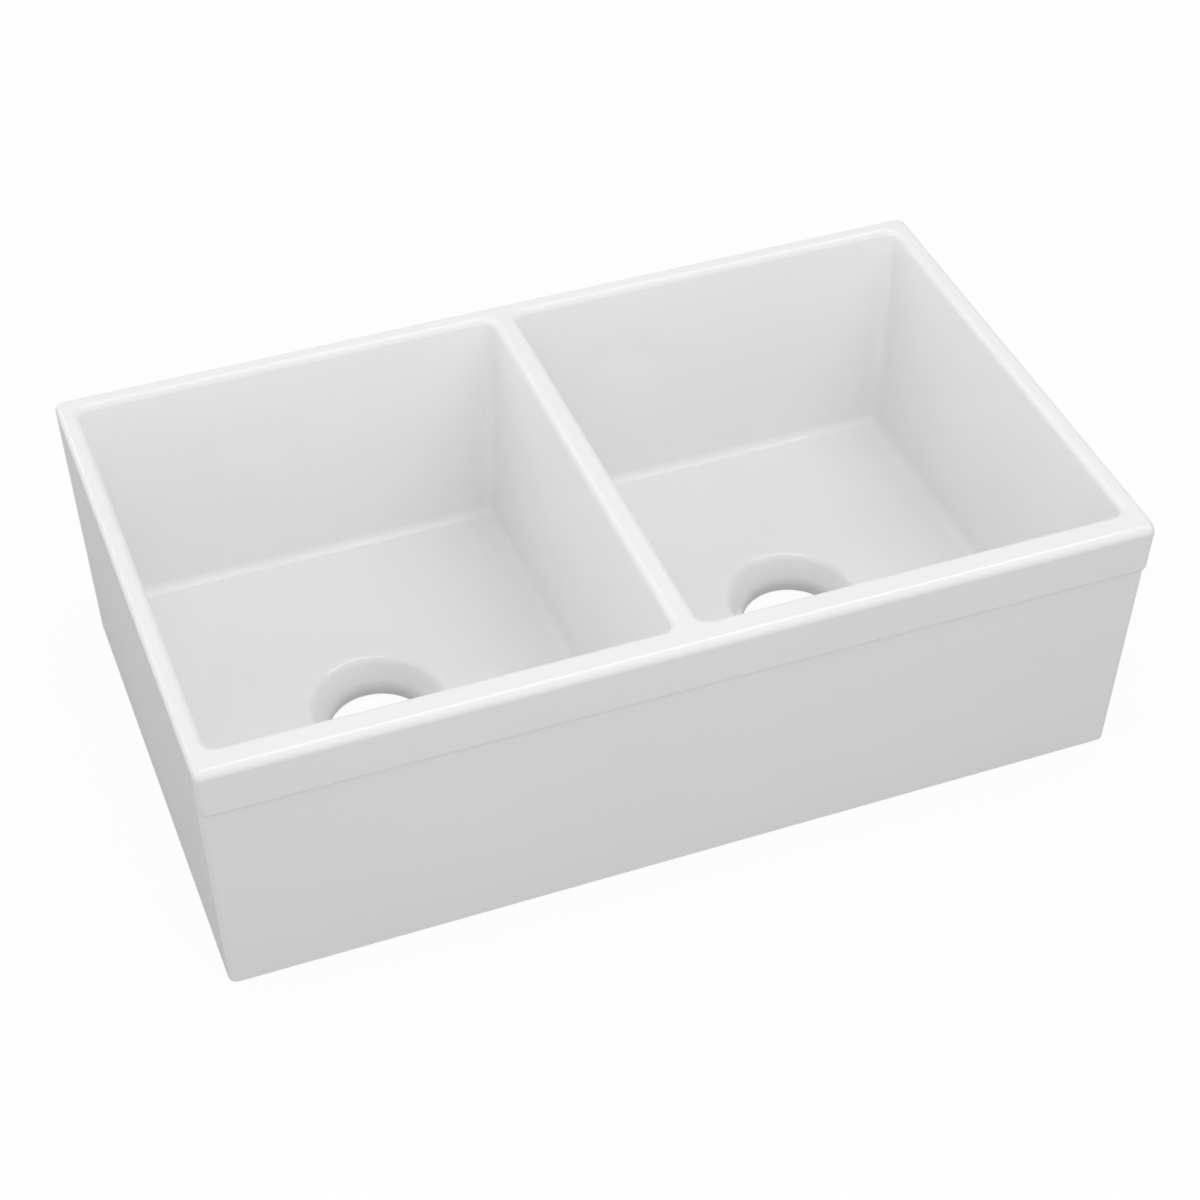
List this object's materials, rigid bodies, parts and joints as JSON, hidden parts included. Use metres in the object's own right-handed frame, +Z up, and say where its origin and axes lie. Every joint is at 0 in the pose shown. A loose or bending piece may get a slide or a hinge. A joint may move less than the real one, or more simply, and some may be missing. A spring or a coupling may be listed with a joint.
{
  "type": "kitchen sink",
  "caption": "Apron-front kitchen sink in white glazed fireclay: equal bowls side by side, a divider as high as the rim, a raised band along the apron and a round drain hole in each bowl.",
  "frame": {"origin": "Middle of the base, on the surface that the sink stands on.", "axes": "+X along the length, to the right seen from the apron; +Y from the apron to the back; +Z up."},
  "size_m": [0.8376, 0.5025, 0.259],
  "materials": {
    "fireclay": "bare fired clay, matt",
    "glaze": "white, glossy"
  },
  "bodies": {
    "root": {"fireclay_body": "fireclay", "glaze_coat": "glaze"}
  },
  "joints": []
}
